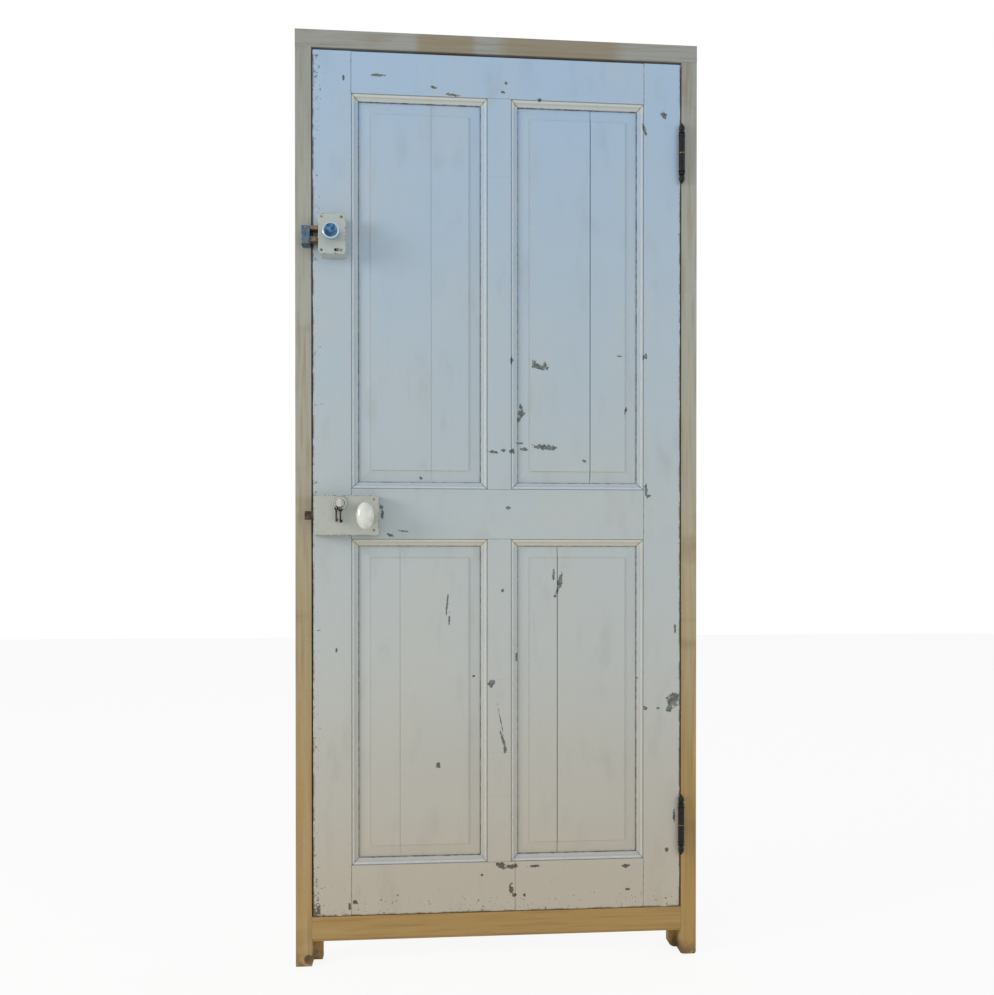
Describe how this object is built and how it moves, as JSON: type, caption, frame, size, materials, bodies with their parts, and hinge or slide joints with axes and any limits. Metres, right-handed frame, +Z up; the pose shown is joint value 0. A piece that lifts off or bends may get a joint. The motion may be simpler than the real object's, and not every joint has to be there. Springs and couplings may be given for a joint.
{
  "type": "panelled door with frame",
  "caption": "Painted wooden panelled room door hung in its own rebated frame, with moulded panels, finial hinges, a rim lock with an oval knob and a night latch.",
  "frame": {"origin": "mid-width of the frame, mid-thickness of the leaf, level with the feet of the jambs", "axes": "+Z up, +X toward the hinge side, +Y into the wall; the side with the locks looks along -Y"},
  "size_m": [0.943, 0.178, 2.1615],
  "materials": {
    "leaf_paint": "old pale blue oil paint, chipped to the wood",
    "frame_paint": "bare softwood, weathered grey toward the head",
    "black_iron": "blackened, waxed by use",
    "brass": "dull, tarnished",
    "chrome": "polished, slightly dull",
    "cream_knob": "glossy cream enamel, yellowed",
    "rim_lock_iron": "cream oil paint over iron, chipped at the edges",
    "night_latch_paint": "cream enamel, worn",
    "dark_steel": "dark, oiled",
    "steel": "dull plain steel"
  },
  "bodies": {
    "frame": {"bar_screws": "steel", "frame_bottom_bar": "frame_paint", "frame_foot_screw": "steel", "frame_head": "frame_paint", "frame_jamb_hinge": "frame_paint", "frame_jamb_lock": "frame_paint", "hinge_frame_screws": "black_iron", "hinge_lower_frame_half": "black_iron", "hinge_pins": "black_iron", "hinge_upper_frame_half": "black_iron", "hinge_washers": "brass", "night_keeper": "steel", "night_keeper_screws": "steel"},
    "leaf": {"hinge_leaf_screws": "black_iron", "hinge_lower_leaf_half": "black_iron", "hinge_upper_leaf_half": "black_iron", "key_left": "dark_steel", "key_right": "dark_steel", "key_ring": "steel", "lock_back_plate": "rim_lock_iron", "lock_case": "rim_lock_iron", "lock_case_screws": "steel", "lock_cylinder": "brass", "lock_cylinder_ring": "brass", "lock_outer_rose": "brass", "lock_plate_screws": "steel", "lock_turn_rose": "brass", "muntin_lower": "leaf_paint", "muntin_upper": "leaf_paint", "night_back_plate": "night_latch_paint", "night_case": "night_latch_paint", "night_cylinder": "brass", "night_cylinder_ring": "brass", "night_guide": "dark_steel", "night_screws": "steel", "panel_lower_hinge_left": "leaf_paint", "panel_lower_hinge_right": "leaf_paint", "panel_lower_lock_left": "leaf_paint", "panel_lower_lock_right": "leaf_paint", "panel_upper_hinge_left": "leaf_paint", "panel_upper_hinge_right": "leaf_paint", "panel_upper_lock_left": "leaf_paint", "panel_upper_lock_right": "leaf_paint", "rail_bottom": "leaf_paint", "rail_lock": "leaf_paint", "rail_top": "leaf_paint", "stile_hinge": "leaf_paint", "stile_lock": "leaf_paint"},
    "oval_knob": {"lock_knob_inner": "cream_knob", "lock_knob_outer": "cream_knob", "lock_spindle": "steel", "lock_follower": "steel"},
    "latch_bolt": {"lock_latch_bolt": "steel"},
    "thumb_turn": {"lock_turn_knob": "brass", "lock_turn_crank": "steel"},
    "dead_bolt": {"lock_dead_bolt": "steel"},
    "night_knob": {"night_knob": "chrome", "night_crank": "steel"},
    "night_bolt": {"night_bolt": "steel"},
    "snib": {"night_snib": "steel"}
  },
  "joints": [
    {"name": "door_swing", "type": "hinge", "parent": "frame", "child": "leaf", "pos_m": [0.433, -0.025, 1.1], "axis": [0, 0, 1], "range_deg": [0, 165]},
    {"name": "knob_turn", "type": "hinge", "parent": "leaf", "child": "oval_knob", "pos_m": [-0.3075, 0, 1.04], "axis": [0, 1, 0], "range_deg": [0, 60], "stiffness_Nm_per_rad": 0.3},
    {"name": "latch_slide", "type": "slide", "parent": "leaf", "child": "latch_bolt", "axis": [1, 0, 0], "range_m": [0, 0.0186]},
    {"name": "thumb_turn_rotate", "type": "hinge", "parent": "leaf", "child": "thumb_turn", "pos_m": [-0.3655, 0, 1.0695], "axis": [0, -1, 0], "range_deg": [0, 90]},
    {"name": "dead_bolt_slide", "type": "slide", "parent": "leaf", "child": "dead_bolt", "axis": [-1, 0, 0], "range_m": [0, 0.01414]},
    {"name": "night_knob_turn", "type": "hinge", "parent": "leaf", "child": "night_knob", "pos_m": [-0.383, 0, 1.677], "axis": [0, -1, 0], "range_deg": [0, 124]},
    {"name": "night_bolt_slide", "type": "slide", "parent": "leaf", "child": "night_bolt", "axis": [-1, 0, 0], "range_m": [0, 0.0301]},
    {"name": "snib_slide", "type": "slide", "parent": "leaf", "child": "snib", "axis": [-1, 0, 0], "range_m": [0, 0.004]}
  ],
  "couplings": [
    {"joint": "latch_slide", "follows": "knob_turn", "m_per_rad": 0.017666},
    {"joint": "thumb_turn_rotate", "follows": "dead_bolt_slide", "rad_per_m": 111.07},
    {"joint": "night_bolt_slide", "follows": "night_knob_turn", "m_per_rad": 0.013862}
  ]
}
